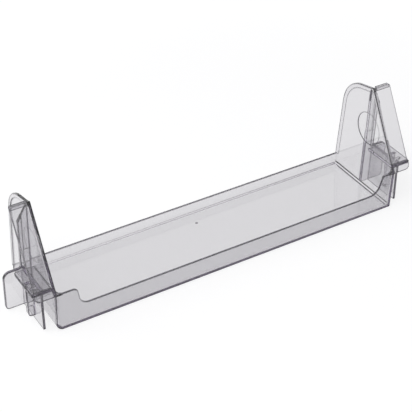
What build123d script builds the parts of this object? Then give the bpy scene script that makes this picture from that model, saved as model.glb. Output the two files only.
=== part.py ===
from build123d import *
from math import atan2, cos, hypot, radians, tan
import os

# Fridge door shelf: one clear moulding, a long low tray between two tall end walls.
# Sizes are in millimetres. While it is drawn, Y starts at the foot of the front wall
# and runs back to the door, X is centred and Z starts at the underside.

# Tray
tray_length = 435.0  # over the outer faces of the end walls
tray_depth = 109.0  # foot of the front wall to the outside of the back lip
wall = 2.4  # thickness of the upright walls, the wings and the plates
floor_thickness = 2.4
back_lip_height = 16.5
front_height = 26.3  # front wall along its middle
shoulder_height = 50.0  # front wall beside each end wall
front_lean = 3.1  # how far the front wall stands out at shoulder height
left_shoulder = 25.7  # length of the raised front wall at the left end
left_step_run = 4.5  # sideways run of the step down from the left shoulder
left_step_top_radius = 6.0
left_step_foot_radius = 11.0
right_shoulder = 16.4  # length of the raised front wall at the right end
right_step_run = 6.2
right_step_top_radius = 3.0
right_step_foot_radius = 14.0

# Roundings of the tray
edge_radius = 0.9  # free upper edges, as far as the wall has room for it
long_edge_radius = 1.0  # outside, along the front and back lower edges
long_foot_radius = 2.8  # inside, where the front wall and the back lip meet the floor
left_edge_radius = 10.5  # outside, along the lower edge of the left end wall
right_edge_radius = 2.0
right_foot_radius = 4.3  # inside, where the right end wall meets the floor
corner_radius = 1.2  # outside, on the upright front corners
inner_corner_radius = 2.2
least_radius = 0.8  # smallest rounding inside a corner

# End walls
peak_setback = 45.6  # peak behind the foot of the front wall
peak_height = 138.2
top_fall = 13.0  # degrees that the top edge falls, behind the peak
back_lean = 5.6  # degrees that the back edge leans forwards
top_radius = 40.0
rim_width = 5.4  # band along the top and back edges
rim_rise = 1.0  # how far that band stands out of the wall

# Wing along the sloped front edge of each end wall
wing_width = 21.0  # past the end wall
wing_drop = 1.6  # lower edge of the wing under the shoulders
wing_foot_radius = 6.0
wing_flare_rise = 4.5  # above the ledge, where the wing starts to widen to its foot
wing_flare_radius = 12.0
wing_top_radius = 2.0
wing_root_radius = 2.0  # in the corner between the wing and the end wall
wing_hollow_radius = 6.0  # in the corner between the end wall's sloped edge and the shoulder

# Pocket for the door's lug, outside each end wall
ledge_rise = 6.5  # top of the ledge above the shoulders
ledge_overhang = 11.5  # ledge past the skirt plate
ledge_corner = 3.0
skirt_gap = 9.4  # between the end wall and the skirt plate
skirt_setback = 6.3  # front edge of the skirt behind the foot of the front wall
skirt_clearance = 3.5  # lower edge of the skirt above the underside
tab_setback = 23.6
tab_width = 8.2  # past the skirt plate
tab_clearance = 11.5  # lower edge of the tab above the underside
tab_radius = 4.0
tab_foot_height = 13.5
tab_foot_depth = 3.0
gusset_setback = 12.5
gusset_drop = 9.0

# Rib up each end wall, with the flag at its foot
rib_setback = 56.0
rib_lean = 2.7  # degrees, forwards
rib_thickness = 2.2
rib_drop = 1.0  # top of the rib under the top edge of the end wall
rib_fall = 22.0  # how far the rib's top slopes down to its outer edge
rib_foot_thickness = 3.0
rib_foot_height = 75.5
rib_slot = 7.0  # open gap between the ledge and the rib
bead_width = 4.4  # thicker band along the rib's outer edge
bead_rise = 0.6  # how far that band stands out of each face of the rib
flag_width = 20.3  # past the skirt plate
flag_height = 52.7
flag_clearance = 2.9  # lower edge of the flag above the underside
flag_top_radius = 8.0
flag_foot_radius = 4.5

# Small marks of the moulding
pad_radius = 20.0  # plain round recess inside each end wall
pad_setback = 49.0
pad_height = 82.8
pad_depth = 0.6
gate_diameter = 3.2  # gate mark under the floor
gate_depth = 0.7
gate_setback = 87.5
gate_offset = 3.5  # right of the middle

# Places worked out from the sizes
half = tray_length / 2
inner_half = half - wall
left_foot_radius = max(left_edge_radius - wall, least_radius)
wall_edge_radius = min(edge_radius, 0.4 * wall)
rim_edge_radius = min(edge_radius, 0.9 * rim_rise)
sky = peak_height + 4 * wall
seam_height = back_lip_height - wall  # where the front wall and the back lip are set on the tub
lean_angle = atan2(front_lean, shoulder_height)
front_section = wall / cos(lean_angle)
slope = (peak_height - shoulder_height) / (peak_setback + front_lean)
wing_section = wall / cos(atan2(1, slope))
wing_foot = shoulder_height - wing_drop
ledge_height = shoulder_height + ledge_rise
skirt_inside = half + skirt_gap
skirt_outside = skirt_inside + wall
ledge_outside = skirt_outside + ledge_overhang
flag_outside = skirt_outside + flag_width
hair = 0.01  # distance that counts as touching


def front_face(z):
    """Y of the front wall's outer face."""
    return -z * tan(lean_angle)


def wing_face(z):
    """Y of the wing's front face, which is also the end wall's sloped edge."""
    return -front_lean + (z - shoulder_height) / slope


def rib_face(z):
    """Y of the rib's front face."""
    return rib_setback - z * tan(radians(rib_lean))


def top_edge(y):
    """Height of an end wall's top edge."""
    return peak_height - (y - peak_setback) * tan(radians(top_fall))


def outline(*corners):
    """Closed face through (across, up) corners; a third number rounds its corner."""
    face = make_face(Polyline(*[corner[:2] for corner in corners], close=True))
    for across, up, radius in [corner for corner in corners if len(corner) > 2]:
        face = fillet(face.vertices().sort_by_distance((across, up))[0], radius)
    return face


def along_x(face, start, end):
    """Solid from a side view, (y, z), between two values of x."""
    return extrude(Plane.YZ.offset(start) * face, amount=end - start, dir=(1, 0, 0))


def along_y(face, start, end):
    """Solid from a front view, (x, z), between two values of y."""
    return extrude(Plane.XZ.offset(-start) * face, amount=end - start, dir=(0, 1, 0))


def top_back_corner(inset):
    """Corner where the top and back edges of an end wall meet, set in by a distance."""
    fall = tan(radians(top_fall))
    lean = tan(radians(back_lean))
    top_at_front = top_edge(0) - inset / cos(radians(top_fall))
    back_at_base = tray_depth + back_lip_height * lean - inset / cos(radians(back_lean))
    y = (back_at_base - lean * top_at_front) / (1 - lean * fall)
    return y, top_at_front - fall * y


def side_view():
    """Outline of an end wall, which is also the outside of the tray's section."""
    return outline(
        (0, 0, long_edge_radius),
        (-front_lean, shoulder_height),
        (peak_setback, peak_height),
        (*top_back_corner(0), top_radius),
        (tray_depth, back_lip_height),
        (tray_depth, 0, long_edge_radius),
    )


def between_ends(face, end, bottom, left_radius, right_radius):
    """Side view drawn out from -end to end, with both lower end edges rounded."""
    front_view = outline(
        (-end, bottom, left_radius),
        (end, bottom, right_radius),
        (end, sky),
        (-end, sky),
    )
    return along_x(face, -end, end) & along_y(front_view, -tray_depth, 2 * tray_depth)


def both_ends(piece):
    """A piece of the right end together with its mirror image at the left end."""
    return piece + mirror(piece, about=Plane.YZ)


def up_the_lean(plan, top):
    """Solid from a plan at the underside, which leans outwards with the front wall."""
    return extrude(plan, amount=top / cos(lean_angle), dir=(0, -front_lean, shoulder_height))


def corner_fill(corner_x, corner_y, radius, wall_side):
    """Face of a hollow rounding in the corner between two walls, and half way into both.

    One wall lies below the corner as it is drawn, and the other beside it: on the right
    for a wall_side of 1, and on the left for -1.
    """
    hollow_x = corner_x - wall_side * radius
    hollow_y = corner_y + radius
    in_wall = corner_x + wall_side * wall / 2
    square = outline(
        (in_wall, corner_y - wall / 2),
        (hollow_x, corner_y - wall / 2),
        (hollow_x, hollow_y),
        (in_wall, hollow_y),
    )
    return square - Pos(hollow_x, hollow_y) * Circle(radius)


def tray():
    """Floor, front wall, back lip and both end walls."""
    square_corner = Pos(half, 0) * Rectangle(2 * corner_radius, 2 * corner_radius)
    sliver = square_corner - Pos(half - corner_radius, corner_radius) * Circle(corner_radius)
    outside = between_ends(side_view(), half, 0, left_edge_radius, right_edge_radius)
    outside -= both_ends(up_the_lean(sliver, shoulder_height))
    cavity_side = outline(
        (front_face(floor_thickness) + front_section, floor_thickness, long_foot_radius),
        (front_face(sky) + front_section, sky),
        (tray_depth - wall, sky),
        (tray_depth - wall, floor_thickness, long_foot_radius),
    )
    cavity = between_ends(cavity_side, inner_half, floor_thickness, left_foot_radius, right_foot_radius)
    above_seam = outline(
        (front_face(sky), seam_height),
        (tray_depth + wall, seam_height),
        (tray_depth + wall, sky),
        (front_face(sky), sky),
    )
    tub = outside - cavity - along_x(above_seam, -inner_half, inner_half)
    tub -= along_x(edge_band(rim_width / 2), -half, half)
    inner_corner = corner_fill(inner_half, front_section, inner_corner_radius, 1)
    filling = both_ends(up_the_lean(inner_corner, shoulder_height - wall_edge_radius))
    return tub + front_wall() + back_lip() + (filling & outside)


def front_wall():
    """Leaning front wall above the seam, with its raised shoulders and a round upper edge."""
    end = half - wall / 2
    left_step = -half + left_shoulder
    right_step = half - right_shoulder
    front_view = outline(
        (-end, seam_height - wall),
        (-end, shoulder_height),
        (left_step, shoulder_height, left_step_top_radius),
        (left_step + left_step_run, front_height, left_step_foot_radius),
        (right_step - right_step_run, front_height, right_step_foot_radius),
        (right_step, shoulder_height, right_step_top_radius),
        (end, shoulder_height),
        (end, seam_height - wall),
    )
    section = outline(
        (front_face(0), 0),
        (front_face(0) + front_section, 0),
        (front_face(sky) + front_section, sky),
        (front_face(sky), sky),
    )
    plate = along_x(section, -half, half) & along_y(front_view, front_face(sky), tray_depth)
    return fillet(plate.edges().filter_by(is_lip_edge), wall_edge_radius)


def back_lip():
    """Low lip along the back, above the seam, with a round upper edge."""
    section = outline(
        (tray_depth - wall, seam_height - wall),
        (tray_depth, seam_height - wall),
        (tray_depth, back_lip_height),
        (tray_depth - wall, back_lip_height),
    )
    plate = along_x(section, wall / 2 - half, half - wall / 2)
    return fillet(plate.edges().filter_by(is_lip_edge), wall_edge_radius)


def is_lip_edge(edge):
    """True for the edges that run along the top of the front wall or the back lip."""
    return (edge @ 0.5).Z > seam_height and abs((edge % 0.5).X) > hair


def edge_band(width):
    """Side view of a band along the top and back edges of an end wall, above the back lip."""
    corner_y, corner_z = top_back_corner(width)
    back_at_lip = tray_depth - width
    inside = outline(
        (-tray_depth, top_edge(-tray_depth) - width / cos(radians(top_fall))),
        (corner_y, corner_z, max(top_radius - width, least_radius)),
        (back_at_lip, back_lip_height),
        (back_at_lip, -wall),
        (-tray_depth, -wall),
    )
    above_lip = outline(
        (0, back_lip_height),
        (tray_depth + wall, back_lip_height),
        (tray_depth + wall, sky),
        (0, sky),
    )
    return (side_view() - inside) & above_lip


def rim():
    """Thicker band with round edges along the top and back of the right end wall."""
    band = along_x(edge_band(rim_width), inner_half, half + rim_rise)
    inner_outline = (Plane.YZ.offset(inner_half) * side_view()).wire()

    def is_free_edge(edge):
        place = edge @ 0.5
        along = place.Y > peak_setback and place.Z > back_lip_height + hair
        on_outer_face = abs(place.X - half - rim_rise) < hair
        return along and (on_outer_face or inner_outline.distance_to(place) < hair)

    return fillet(band.edges().filter_by(is_free_edge), rim_edge_radius)


def wing_slab():
    """Thickness of the wing, along the slope of the right end wall."""
    section = outline(
        (wing_face(wing_foot), wing_foot),
        (wing_face(wing_foot) + wing_section, wing_foot),
        (peak_setback + wing_section, peak_height),
        (peak_setback, peak_height),
    )
    return along_x(section, inner_half - wing_hollow_radius, ledge_outside)


def wing():
    """Flat panel that stands out along the sloped edge of the right end wall."""
    panel = outline(
        (inner_half, wing_foot),
        (ledge_outside, wing_foot, wing_foot_radius),
        (half + wing_width, ledge_height + wing_flare_rise, wing_flare_radius),
        (half + wing_width, peak_height, wing_top_radius),
        (inner_half, peak_height),
    )
    plate = wing_slab() & along_y(panel, front_face(sky), tray_depth)

    def is_free_edge(edge):
        place = edge @ 0.5
        depth = place.Y - wing_face(place.Z)
        on_face = min(abs(depth), abs(depth - wing_section)) < hair
        return on_face and place.X > inner_half + hair

    return fillet(plate.edges().filter_by(is_free_edge), wall_edge_radius)


def wing_hollow():
    """Rounded web in the wing's plane, from the right end wall down to the shoulder."""
    web = corner_fill(inner_half, shoulder_height, wing_hollow_radius, 1)
    return wing_slab() & along_y(web, front_face(sky), tray_depth)


def wing_root():
    """Hollow rounding that fills the corner behind the right wing."""
    foot = ledge_height - wall / 2
    rise = peak_height - foot
    plan = corner_fill(half, wing_face(foot) + wing_section, wing_root_radius, -1)
    root = extrude(Pos(0, 0, foot) * plan, amount=hypot(rise, rise / slope), dir=(0, 1 / slope, 1))
    return root & along_x(side_view(), half - wall, ledge_outside)


def ledge():
    """Shelf over the pocket, from the wing back to the slot before the rib."""
    front = wing_face(ledge_height) + wing_section / 2
    back = rib_face(ledge_height) - rib_slot
    plan = outline(
        (half - wall / 2, front),
        (ledge_outside, front),
        (ledge_outside, back, ledge_corner),
        (half - wall / 2, back),
    )
    return extrude(Pos(0, 0, ledge_height) * plan, amount=wall, dir=(0, 0, -1))


def skirt():
    """Upright plate under the ledge, beside the end wall."""
    side = outline(
        (skirt_setback, skirt_clearance),
        (rib_face(skirt_clearance) + rib_thickness / 2, skirt_clearance),
        (rib_face(ledge_height) + rib_thickness / 2, ledge_height),
        (skirt_setback, ledge_height),
    )
    return along_x(side, skirt_inside, skirt_outside)


def tab():
    """Hooked plate at the front of the pocket."""
    under_ledge = ledge_height - wall / 2
    foot_top = tab_clearance + tab_foot_height
    side = outline(
        (tab_setback, tab_clearance),
        (tab_setback + wall + tab_foot_depth, tab_clearance),
        (tab_setback + wall + tab_foot_depth, foot_top - tab_foot_depth),
        (tab_setback + wall, foot_top),
        (tab_setback + wall, under_ledge),
        (tab_setback, under_ledge),
    )
    front = outline(
        (skirt_outside - wall / 2, tab_clearance),
        (skirt_outside + tab_width, tab_clearance, tab_radius),
        (skirt_outside + tab_width, under_ledge),
        (skirt_outside - wall / 2, under_ledge),
    )
    return along_x(side, skirt_inside, ledge_outside) & along_y(front, 0, tray_depth)


def gusset():
    """Small web between the skirt and the ledge, in front of the tab."""
    under_ledge = ledge_height - wall / 2
    web = outline(
        (skirt_outside - wall / 2, under_ledge - gusset_drop),
        (ledge_outside - wall, under_ledge),
        (skirt_outside - wall / 2, under_ledge),
    )
    return along_y(web, gusset_setback, gusset_setback + wall)


def rib():
    """Leaning plate up the end wall, with a beaded outer edge, a thicker foot and the flag."""
    rib_top = top_edge(rib_face(peak_height)) - rib_drop
    plate = outline(
        (half - wall / 2, flag_clearance),
        (flag_outside, flag_clearance, flag_foot_radius),
        (flag_outside, flag_height, flag_top_radius),
        (skirt_outside, flag_height, wall),
        (skirt_outside, rib_top - rib_fall),
        (half, rib_top),
        (half - wall / 2, rib_top),
    )

    def leaning(bottom, top, ahead, behind):
        return outline(
            (rib_face(bottom) - ahead, bottom),
            (rib_face(bottom) + behind, bottom),
            (rib_face(top) + behind, top),
            (rib_face(top) - ahead, top),
        )

    web = along_x(leaning(0, sky, 0, rib_thickness), half - wall / 2, flag_outside)
    foot = along_x(leaning(0, rib_foot_height, 0, rib_foot_thickness), half - wall / 2, flag_outside)
    bead_side = leaning(flag_height, sky, bead_rise, rib_thickness + bead_rise)
    bead = along_x(bead_side, skirt_outside - bead_width, skirt_outside)
    return along_y(plate, 0, tray_depth) & (web + foot + bead)


def pad():
    """Plain round recess in the inner face of the right end wall."""
    disc = Pos(pad_setback, pad_height) * Circle(pad_radius)
    return along_x(disc, inner_half - pad_depth, inner_half + pad_depth)


def gate_mark():
    """Small dimple under the floor where the moulding was filled."""
    return Pos(gate_offset, gate_setback, gate_depth / 2) * Cylinder(gate_diameter / 2, gate_depth)


def shelf():
    """The whole moulding, with the origin under the middle of its box."""
    right_end = rim() + wing() + wing_hollow() + wing_root()
    right_end += ledge() + skirt() + tab() + gusset() + rib()
    body = tray() + both_ends(right_end) - both_ends(pad()) - gate_mark()
    return Pos(0, -body.bounding_box().center().Y, 0) * body


os.makedirs("parts", exist_ok=True)
export_step(shelf(), "parts/door_shelf.step")
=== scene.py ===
"""Fridge door shelf: one clear moulding on a white studio floor."""
import math

import bpy
import mathutils
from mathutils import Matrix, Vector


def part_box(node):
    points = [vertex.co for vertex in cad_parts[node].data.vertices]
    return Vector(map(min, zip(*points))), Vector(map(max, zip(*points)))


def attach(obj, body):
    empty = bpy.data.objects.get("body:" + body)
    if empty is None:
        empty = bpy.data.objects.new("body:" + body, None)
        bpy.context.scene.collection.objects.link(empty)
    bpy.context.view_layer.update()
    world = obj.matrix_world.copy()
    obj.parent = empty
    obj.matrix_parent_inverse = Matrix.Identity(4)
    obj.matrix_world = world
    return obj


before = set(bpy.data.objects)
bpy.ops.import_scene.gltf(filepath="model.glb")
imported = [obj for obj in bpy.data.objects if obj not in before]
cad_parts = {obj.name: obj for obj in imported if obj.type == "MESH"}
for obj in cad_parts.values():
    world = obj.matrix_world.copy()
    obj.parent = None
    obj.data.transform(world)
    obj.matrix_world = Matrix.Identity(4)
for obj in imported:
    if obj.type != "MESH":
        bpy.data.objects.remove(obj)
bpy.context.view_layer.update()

bl_info = {
    "name": "Fridge Door Shelf",
    "version": (1, 0, 0),
    "blender": (4, 5, 0),
    "location": "View3D > Sidebar > Door Shelf",
    "description": "Dresses a clear moulded fridge door shelf and sets its studio",
    "category": "Object",
}

WHITE = (1.0, 1.0, 1.0, 1.0)
SHADER_SAMPLES = 4  # rays that each edge test of the plastic sends out
WEAR_DETAIL = 4.0  # finer layers in the patches of wear
RIPPLE_DETAIL = 1.0  # finer layers in the flow ripples
LOOKS_BACK = 0.5  # least Y of the normal of a wing's back face
LOOKS_DOWN = -0.3  # most Z of that normal
CORNER_STEPS = 6  # facets round the corner of a band
EDGE_STEPS = 3  # facets round the edges of a band
FLOOR_SIDES = 96  # straight sides that make the round floor
SENSOR_WIDTH = 36.0  # millimetres


class ShelfPlasticSettings(bpy.types.PropertyGroup):
    """Finish of the clear moulding."""

    # Grey tint of the plastic, partly its own and partly painted shade: made darker so that it also holds
    # the shade of the floor under the shelf seen through it.
    tint_with_painted_shade: bpy.props.FloatVectorProperty(
        name="Surface Tint",
        description="Colour that the faces of the plastic give to what shows through them",
        subtype="COLOR",
        size=4,
        default=(0.775, 0.771, 0.783, 1.0),
        min=0.0,
        max=1.0,
    )
    depth_tint: bpy.props.FloatVectorProperty(
        name="Depth Tint",
        description="Colour of the plastic where light runs a long way through it",
        subtype="COLOR",
        size=4,
        default=(0.60, 0.565, 0.64, 1.0),
        min=0.0,
        max=1.0,
    )
    depth_density: bpy.props.FloatProperty(
        name="Depth Density",
        description="How fast the plastic takes up light, for each metre of depth",
        default=45.0,
        min=0.0,
    )
    refraction: bpy.props.FloatProperty(
        name="Refraction",
        description="Index of refraction of the plastic",
        default=1.57,
        min=1.0,
        max=2.0,
    )
    # Painted shade: dark colour laid along every edge, in place of the dark lines that light bent at the
    # rounded edges draws.
    painted_edge_shade: bpy.props.FloatVectorProperty(
        name="Edge Tint",
        description="Denser colour of the plastic along its edges",
        subtype="COLOR",
        size=4,
        default=(0.02, 0.018, 0.024, 1.0),
        min=0.0,
        max=1.0,
    )
    # Reach of the painted edge shade.
    edge_depth: bpy.props.FloatProperty(
        name="Edge Depth",
        description="How far the denser colour reaches from an edge",
        subtype="DISTANCE",
        unit="LENGTH",
        default=0.0016,
        min=0.0,
    )
    # Openness of the plastic at which the painted edge shade starts.
    edge_start: bpy.props.FloatProperty(
        name="Edge Start",
        description="Openness of the plastic round a point, under which the denser colour starts",
        subtype="FACTOR",
        default=0.97,
        min=0.0,
        max=1.0,
    )
    # Openness of the plastic at which the painted edge shade is complete.
    edge_full: bpy.props.FloatProperty(
        name="Edge Full",
        description="Openness of the plastic round a point at which the denser colour is complete",
        subtype="FACTOR",
        default=0.88,
        min=0.0,
        max=1.0,
    )
    polish: bpy.props.FloatProperty(
        name="Roughness",
        description="Roughness of the best polished faces",
        subtype="FACTOR",
        default=0.015,
        min=0.0,
        max=1.0,
    )
    wear: bpy.props.FloatProperty(
        name="Wear",
        description="Roughness that handling adds in soft patches",
        subtype="FACTOR",
        default=0.03,
        min=0.0,
        max=1.0,
    )
    wear_scale: bpy.props.FloatProperty(
        name="Wear Scale",
        description="How many patches of wear lie along a metre",
        default=45.0,
        min=0.0,
    )
    wear_start: bpy.props.FloatProperty(
        name="Wear Start",
        description="Strength of the pattern at which wear starts",
        subtype="FACTOR",
        default=0.45,
        min=0.0,
        max=1.0,
    )
    wear_full: bpy.props.FloatProperty(
        name="Wear Full",
        description="Strength of the pattern at which wear is complete",
        subtype="FACTOR",
        default=0.75,
        min=0.0,
        max=1.0,
    )
    ripple: bpy.props.FloatProperty(
        name="Ripple",
        description="Height of the faint flow ripples in the faces",
        subtype="DISTANCE",
        unit="LENGTH",
        default=0.00002,
        min=0.0,
    )
    ripple_scale: bpy.props.FloatProperty(
        name="Ripple Scale",
        description="How many flow ripples lie along a metre",
        default=30.0,
        min=0.0,
    )
    edge_radius: bpy.props.FloatProperty(
        name="Edge Radius",
        description="Soft rounding that the mould leaves on every edge",
        subtype="DISTANCE",
        unit="LENGTH",
        default=0.0003,
        min=0.0,
    )


class ShelfBandSettings(bpy.types.PropertyGroup):
    """Raised bands along the tops of the wings."""

    start: bpy.props.FloatProperty(
        name="Start",
        description="How far from the middle of the shelf each band starts, clear of the wing's root",
        subtype="DISTANCE",
        unit="LENGTH",
        default=0.2197,
        min=0.0,
    )
    length: bpy.props.FloatProperty(
        name="Length",
        description="Length of each band, out towards the corner of the wing",
        subtype="DISTANCE",
        unit="LENGTH",
        default=0.0182,
        min=0.001,
    )
    width: bpy.props.FloatProperty(
        name="Width",
        description="Width of each band, down the slope of the wing",
        subtype="DISTANCE",
        unit="LENGTH",
        default=0.0050,
        min=0.001,
    )
    rise: bpy.props.FloatProperty(
        name="Rise",
        description="How far each band stands out of the back of the wing",
        subtype="DISTANCE",
        unit="LENGTH",
        default=0.0014,
        min=0.0001,
    )
    seat: bpy.props.FloatProperty(
        name="Seat",
        description="Hair line of air that keeps the faces of a band and its wing apart",
        subtype="DISTANCE",
        unit="LENGTH",
        default=0.00004,
        min=0.0,
    )
    rounding: bpy.props.FloatProperty(
        name="Rounding",
        description="Radius of the edges of each band",
        subtype="DISTANCE",
        unit="LENGTH",
        default=0.0003,
        min=0.0,
    )
    corner: bpy.props.FloatProperty(
        name="Corner",
        description="Radius of the upper outer corner of each band, which follows the wing's",
        subtype="DISTANCE",
        unit="LENGTH",
        default=0.0018,
        min=0.0,
    )
    # Reach of the painted edge shade on a band.
    edge_depth: bpy.props.FloatProperty(
        name="Edge Depth",
        description="How far the denser colour reaches from an edge of a band",
        subtype="DISTANCE",
        unit="LENGTH",
        default=0.0013,
        min=0.0,
    )


class ShelfStageSettings(bpy.types.PropertyGroup):
    """Studio round the shelf."""

    floor_radius: bpy.props.FloatProperty(
        name="Floor Radius",
        description="Radius of the round studio floor",
        subtype="DISTANCE",
        unit="LENGTH",
        default=3.0,
        min=0.5,
    )
    floor_gap: bpy.props.FloatProperty(
        name="Floor Gap",
        description="Air between the floor and the underside of the shelf",
        subtype="DISTANCE",
        unit="LENGTH",
        default=0.0008,
        min=0.0,
    )
    floor_colour: bpy.props.FloatVectorProperty(
        name="Floor Colour",
        description="Colour of the studio floor",
        subtype="COLOR",
        size=4,
        default=(0.9, 0.9, 0.9, 1.0),
        min=0.0,
        max=1.0,
    )
    floor_glow: bpy.props.FloatVectorProperty(
        name="Floor Glow",
        description="Tone of the floor in the picture where no lamp reaches it",
        subtype="COLOR",
        size=4,
        default=(0.82, 0.82, 0.825, 1.0),
        min=0.0,
        max=1.0,
    )
    floor_shading: bpy.props.FloatVectorProperty(
        name="Floor Shading",
        description="Share of the lamps' light that brings the floor up to white, and holds the shadow",
        subtype="COLOR",
        size=4,
        default=(0.32, 0.32, 0.32, 1.0),
        min=0.0,
        max=1.0,
    )
    shadow_reach: bpy.props.FloatProperty(
        name="Shadow Reach",
        description="Distance from the shelf at which the floor starts to fade to plain white",
        subtype="DISTANCE",
        unit="LENGTH",
        default=0.35,
        min=0.0,
    )
    white_reach: bpy.props.FloatProperty(
        name="White Reach",
        description="Distance from the shelf at which the floor is plain white",
        subtype="DISTANCE",
        unit="LENGTH",
        default=1.5,
        min=0.0,
    )
    surround: bpy.props.FloatVectorProperty(
        name="Surround",
        description="Light that the room round the floor gives",
        subtype="COLOR",
        size=4,
        default=(0.25, 0.25, 0.25, 1.0),
        min=0.0,
        max=1.0,
    )
    lamp_size: bpy.props.FloatProperty(
        name="Lamp Size",
        description="Side of each square lamp",
        subtype="DISTANCE",
        unit="LENGTH",
        default=2.0,
        min=0.01,
    )
    key_place: bpy.props.FloatVectorProperty(
        name="Key Lamp Place",
        description="Where the main lamp hangs, in front and on the left",
        subtype="TRANSLATION",
        unit="LENGTH",
        size=3,
        default=(-1.4, -0.7, 2.2),
    )
    key_power: bpy.props.FloatProperty(
        name="Key Lamp Power",
        description="Power of the main lamp",
        subtype="POWER",
        unit="POWER",
        default=26.0,
        min=0.0,
    )
    side_place: bpy.props.FloatVectorProperty(
        name="Side Lamp Place",
        description="Where the second lamp hangs, behind and on the left",
        subtype="TRANSLATION",
        unit="LENGTH",
        size=3,
        default=(-2.0, 1.4, 1.5),
    )
    side_power: bpy.props.FloatProperty(
        name="Side Lamp Power",
        description="Power of the second lamp",
        subtype="POWER",
        unit="POWER",
        default=16.0,
        min=0.0,
    )
    bounces: bpy.props.IntProperty(
        name="Bounces",
        description="How often light may turn inside the plastic before it is given up",
        default=48,
        min=4,
    )
    lens: bpy.props.FloatProperty(
        name="Lens",
        description="Focal length of the camera",
        subtype="DISTANCE_CAMERA",
        default=111.84,
        min=10.0,
    )
    camera_place: bpy.props.FloatVectorProperty(
        name="Camera Place",
        description="Where the camera stands",
        subtype="TRANSLATION",
        unit="LENGTH",
        size=3,
        default=(-0.6026, -0.9951, 0.8845),
    )
    camera_pitch: bpy.props.FloatProperty(
        name="Camera Pitch",
        description="How far the camera looks down",
        subtype="ANGLE",
        default=math.radians(35.7),
    )
    camera_yaw: bpy.props.FloatProperty(
        name="Camera Yaw",
        description="How far the camera looks to the right of the shelf's depth",
        subtype="ANGLE",
        default=math.radians(31.0),
    )


def new_material(name):
    """A material with an empty node tree and its output node."""
    material = bpy.data.materials.new(name)
    material.use_nodes = True
    tree = material.node_tree
    tree.nodes.clear()
    output = tree.nodes.new("ShaderNodeOutputMaterial")
    return material, tree, output


def add_node(tree, kind, inputs=None, **settings):
    """A new node with its settings and its inputs, each a value or the socket that feeds it."""
    node = tree.nodes.new(kind)
    for name, value in settings.items():
        setattr(node, name, value)
    for name, value in (inputs or {}).items():
        if isinstance(value, bpy.types.NodeSocket):
            tree.links.new(value, node.inputs[name])
        else:
            node.inputs[name].default_value = value
    return node


def ramp(tree, value, start, end, low=0.0, high=1.0, kind="LINEAR"):
    """Socket that goes from low to high while a value goes from start to end."""
    node = add_node(
        tree,
        "ShaderNodeMapRange",
        {"Value": value, "From Min": start, "From Max": end, "To Min": low, "To Max": high},
        interpolation_type=kind,
    )
    return node.outputs["Result"]


def calculate(tree, operation, *values):
    """Socket with the result of a calculation."""
    return add_node(tree, "ShaderNodeMath", dict(enumerate(values)), operation=operation).outputs["Value"]


def blend(tree, share, first, second):
    """Socket with a colour between two colours."""
    inputs = {"Factor": share, "A": first, "B": second}
    return add_node(tree, "ShaderNodeMix", inputs, data_type="RGBA").outputs["Result"]


def choose(tree, share, first, second):
    """Socket with the first shader at a share of 0, and the second at 1."""
    return add_node(tree, "ShaderNodeMixShader", {"Fac": share, 1: first, 2: second}).outputs["Shader"]


def by_ray(tree, seen, plain):
    """Socket with one shader for what is seen, straight or through plastic, and one for other light."""
    path = add_node(tree, "ShaderNodeLightPath")
    bent = calculate(tree, "MAXIMUM", path.outputs["Is Transmission Ray"], path.outputs["Is Glossy Ray"])
    shown = calculate(tree, "MAXIMUM", path.outputs["Is Camera Ray"], bent)
    # Light that a matt face has scattered meets the other shader, so the white adds no light.
    unscattered = calculate(tree, "LESS_THAN", path.outputs["Diffuse Depth"], 1.0)
    return choose(tree, calculate(tree, "MULTIPLY", shown, unscattered), plain, seen)


def tint_with_painted_edge_shade(tree, plastic, edge_depth):
    """Tint of the plastic, with painted shade darkening it where an edge is near."""
    inside = add_node(
        tree,
        "ShaderNodeAmbientOcclusion",
        {"Distance": edge_depth},
        inside=True,
        only_local=True,
        samples=SHADER_SAMPLES,
    )
    near_edge = ramp(tree, inside.outputs["AO"], plastic.edge_start, plastic.edge_full)
    # Painted shade: near an edge the colour goes over to the dark edge colour, standing in for the dark
    # lines of bent light.
    return blend(tree, near_edge, plastic.tint_with_painted_shade, plastic.painted_edge_shade)


def worn_roughness(tree, place, plastic):
    """Roughness of the polished faces, with soft patches of wear."""
    inputs = {"Vector": place, "Scale": plastic.wear_scale, "Detail": WEAR_DETAIL}
    patches = add_node(tree, "ShaderNodeTexNoise", inputs)
    worn = plastic.polish + plastic.wear
    return ramp(tree, patches.outputs["Fac"], plastic.wear_start, plastic.wear_full, plastic.polish, worn)


def flow_normal(tree, place, plastic):
    """Normal with softly rounded edges and faint ripples from the flow of the plastic."""
    rounding = add_node(tree, "ShaderNodeBevel", {"Radius": plastic.edge_radius}, samples=SHADER_SAMPLES)
    inputs = {"Vector": place, "Scale": plastic.ripple_scale, "Detail": RIPPLE_DETAIL}
    flow = add_node(tree, "ShaderNodeTexNoise", inputs)
    ripple = add_node(
        tree,
        "ShaderNodeBump",
        {"Distance": plastic.ripple, "Height": flow.outputs["Fac"], "Normal": rounding.outputs["Normal"]},
    )
    return ripple.outputs["Normal"]


def clear_plastic(name, plastic, edge_depth):
    """Clear plastic with a cool grey tint that partly holds painted shade, and painted shade along the
    edges.
    """
    material, tree, output = new_material(name)
    place = add_node(tree, "ShaderNodeTexCoord").outputs["Object"]
    shader = add_node(
        tree,
        "ShaderNodeBsdfPrincipled",
        {
            "Transmission Weight": 1.0,
            "IOR": plastic.refraction,
            "Base Color": tint_with_painted_edge_shade(tree, plastic, edge_depth),
            "Roughness": worn_roughness(tree, place, plastic),
            "Normal": flow_normal(tree, place, plastic),
        },
    )
    inputs = {"Color": plastic.depth_tint, "Density": plastic.depth_density}
    depth = add_node(tree, "ShaderNodeVolumeAbsorption", inputs)
    tree.links.new(shader.outputs["BSDF"], output.inputs["Surface"])
    tree.links.new(depth.outputs["Volume"], output.inputs["Volume"])
    return material


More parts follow.
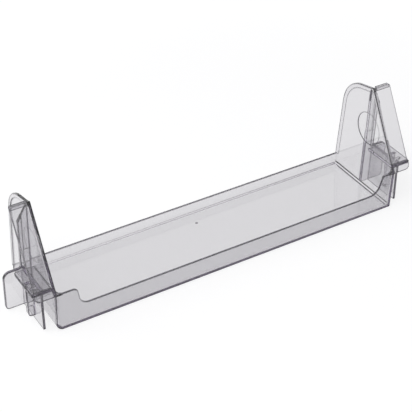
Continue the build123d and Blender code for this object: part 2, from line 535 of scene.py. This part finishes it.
class SHELF_OT_moulding(bpy.types.Operator):
    """Gives the moulding its clear plastic."""

    bl_idname = "door_shelf.moulding"
    bl_label = "Dress Moulding"

    def execute(self, context):
        plastic = context.scene.door_shelf_plastic
        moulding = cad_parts["door_shelf"]
        moulding.data.materials.clear()
        moulding.data.materials.append(clear_plastic("clear_plastic", plastic, plastic.edge_depth))
        return {"FINISHED"}


class SHELF_OT_wing_bands(bpy.types.Operator):
    """Adds the raised band along the top of each wing."""

    bl_idname = "door_shelf.wing_bands"
    bl_label = "Add Wing Bands"

    def wing_back(self, side, start):
        """Middle and normal of the largest face on the back of one wing."""
        faces = [
            face
            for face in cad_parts["door_shelf"].data.polygons
            if face.center.x * side > start
            and face.normal.y > LOOKS_BACK
            and face.normal.z < LOOKS_DOWN
        ]
        if not faces:
            raise RuntimeError("the wing has no back face")
        face = max(faces, key=lambda each: each.area)
        return face.center.copy(), face.normal.copy()

    def blank(self, side, top, bands):
        """Square bar along the back of one wing, cut level at the top."""
        middle, outward = self.wing_back(side, bands.start)
        up_slope = mathutils.Vector((1, 0, 0)).cross(outward)
        up_slope *= math.copysign(1, up_slope.z)
        brink = middle + up_slope * (top - middle.z) / up_slope.z
        place = brink + outward * (bands.seat + bands.rise / 2)
        place.x = side * (bands.start + bands.length / 2)

        bpy.ops.object.select_all(action="DESELECT")
        bpy.ops.mesh.primitive_cube_add(size=1.0, location=place)
        band = bpy.context.object
        # The bar is centred on the brink, and the cut takes off its upper half.
        band.scale = (bands.length, bands.rise, 2 * bands.width)
        band.rotation_euler.x = math.atan2(outward.z, outward.y)
        bpy.ops.object.transform_apply(location=True, rotation=True, scale=True)
        bpy.ops.object.mode_set(mode="EDIT")
        bpy.ops.mesh.select_all(action="SELECT")
        bpy.ops.mesh.bisect(
            plane_co=(0, 0, top - bands.seat), plane_no=(0, 0, 1), use_fill=True, clear_outer=True
        )
        bpy.ops.mesh.select_mode(type="EDGE")
        bpy.ops.mesh.select_all(action="DESELECT")
        bpy.ops.object.mode_set(mode="OBJECT")
        return band

    def band(self, name, side, bands):
        """Bar with its upper outer corner and all its edges rounded."""
        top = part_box("door_shelf")[1][2]
        end = bands.start + bands.length
        band = self.blank(side, top, bands)
        band.name = name
        for edge in band.data.edges:
            points = [band.data.vertices[index].co for index in edge.vertices]
            at_end = all(abs(side * point.x - end) < bands.seat for point in points)
            at_top = all(top - point.z < 2 * bands.seat for point in points)
            edge.select = at_end and at_top
        bpy.ops.object.mode_set(mode="EDIT")
        bpy.ops.mesh.bevel(offset=bands.corner, segments=CORNER_STEPS, affect="EDGES")
        bpy.ops.mesh.select_all(action="SELECT")
        bpy.ops.mesh.bevel(offset=bands.rounding, segments=EDGE_STEPS, affect="EDGES")
        bpy.ops.object.mode_set(mode="OBJECT")
        return band

    def execute(self, context):
        bands = context.scene.door_shelf_bands
        material = clear_plastic("band_plastic", context.scene.door_shelf_plastic, bands.edge_depth)
        for name, side in (("left_wing_band", -1), ("right_wing_band", 1)):
            band = self.band(name, side, bands)
            band.data.materials.append(material)
            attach(band, "root")
        return {"FINISHED"}


class SHELF_OT_stage(bpy.types.Operator):
    """Sets the floor, the room, the lamps and the camera."""

    bl_idname = "door_shelf.stage"
    bl_label = "Set Studio"

    def floor_seen(self, tree, place, stage):
        """Shader of the floor in the picture: white, with the shelf's soft shadow near it."""
        reach = add_node(tree, "ShaderNodeVectorMath", {0: place}, operation="LENGTH")
        away = ramp(
            tree, reach.outputs["Value"], stage.shadow_reach, stage.white_reach, kind="SMOOTHSTEP"
        )
        fade = blend(tree, away, stage.floor_glow, WHITE)
        glow = add_node(tree, "ShaderNodeEmission", {"Color": fade})
        shaded = add_node(tree, "ShaderNodeBsdfDiffuse", {"Color": stage.floor_shading})
        inputs = {0: glow.outputs["Emission"], 1: shaded.outputs["BSDF"]}
        return add_node(tree, "ShaderNodeAddShader", inputs).outputs["Shader"]

    def floor(self, stage):
        """Round floor, just under the shelf."""
        bpy.ops.object.select_all(action="DESELECT")
        bpy.ops.mesh.primitive_circle_add(
            vertices=FLOOR_SIDES,
            radius=stage.floor_radius,
            fill_type="NGON",
            location=(0, 0, -stage.floor_gap),
        )
        floor = bpy.context.object
        floor.name = "studio_floor"
        material, tree, output = new_material("studio_white")
        place = add_node(tree, "ShaderNodeTexCoord").outputs["Object"]
        painted = add_node(tree, "ShaderNodeBsdfDiffuse", {"Color": stage.floor_colour})
        surface = by_ray(tree, self.floor_seen(tree, place, stage), painted.outputs["BSDF"])
        tree.links.new(surface, output.inputs["Surface"])
        floor.data.materials.append(material)

    def room(self, scene, stage):
        """World round the floor."""
        world = bpy.data.worlds.new("studio_room")
        world.use_nodes = True
        tree = world.node_tree
        tree.nodes.clear()
        output = tree.nodes.new("ShaderNodeOutputWorld")
        seen, plain = [
            add_node(tree, "ShaderNodeBackground", {"Color": tone}).outputs["Background"]
            for tone in (WHITE, stage.surround)
        ]
        tree.links.new(by_ray(tree, seen, plain), output.inputs["Surface"])
        scene.world = world

    def lamp(self, name, place, size, watts):
        """Square lamp that points at the middle of the shelf's base."""
        bpy.ops.object.light_add(type="AREA", location=place)
        lamp = bpy.context.object
        lamp.name = name
        lamp.data.size = size
        lamp.data.energy = watts
        x, y, height = place
        lamp.rotation_euler = (math.atan2(math.hypot(x, y), height), 0.0, math.atan2(x, -y))

    def camera(self, scene, stage):
        """Camera at the photograph's viewing angle."""
        bpy.ops.object.camera_add(
            location=stage.camera_place,
            rotation=(math.pi / 2 - stage.camera_pitch, 0.0, -stage.camera_yaw),
        )
        camera = bpy.context.object
        camera.name = "photo_camera"
        camera.data.lens = stage.lens
        camera.data.sensor_width = SENSOR_WIDTH
        scene.camera = camera

    def execute(self, context):
        scene = context.scene
        stage = scene.door_shelf_stage
        scene.view_settings.view_transform = "Standard"
        self.floor(stage)
        self.room(scene, stage)
        self.lamp("key_lamp", stage.key_place, stage.lamp_size, stage.key_power)
        self.lamp("side_lamp", stage.side_place, stage.lamp_size, stage.side_power)
        self.camera(scene, stage)
        scene.cycles.max_bounces = stage.bounces
        scene.cycles.transmission_bounces = stage.bounces
        scene.cycles.glossy_bounces = stage.bounces
        return {"FINISHED"}


class SHELF_PT_sidebar(bpy.types.Panel):
    """Door shelf tools in the sidebar."""

    bl_label = "Door Shelf"
    bl_idname = "SHELF_PT_sidebar"
    bl_space_type = "VIEW_3D"
    bl_region_type = "UI"
    bl_category = "Door Shelf"

    def draw(self, context):
        scene = context.scene
        column = self.layout.column()
        for settings, operator in (
            (scene.door_shelf_plastic, SHELF_OT_moulding),
            (scene.door_shelf_bands, SHELF_OT_wing_bands),
            (scene.door_shelf_stage, SHELF_OT_stage),
        ):
            for name in type(settings).__annotations__:
                column.prop(settings, name)
            column.operator(operator.bl_idname)


CLASSES = (
    ShelfPlasticSettings,
    ShelfBandSettings,
    ShelfStageSettings,
    SHELF_OT_moulding,
    SHELF_OT_wing_bands,
    SHELF_OT_stage,
    SHELF_PT_sidebar,
)


def register():
    for cls in CLASSES:
        bpy.utils.register_class(cls)
    bpy.types.Scene.door_shelf_plastic = bpy.props.PointerProperty(type=ShelfPlasticSettings)
    bpy.types.Scene.door_shelf_bands = bpy.props.PointerProperty(type=ShelfBandSettings)
    bpy.types.Scene.door_shelf_stage = bpy.props.PointerProperty(type=ShelfStageSettings)


def unregister():
    del bpy.types.Scene.door_shelf_stage
    del bpy.types.Scene.door_shelf_bands
    del bpy.types.Scene.door_shelf_plastic
    for cls in reversed(CLASSES):
        bpy.utils.unregister_class(cls)


def main():
    register()
    bpy.ops.door_shelf.moulding()
    bpy.ops.door_shelf.wing_bands()
    bpy.ops.door_shelf.stage()


if __name__ == "__main__":
    main()
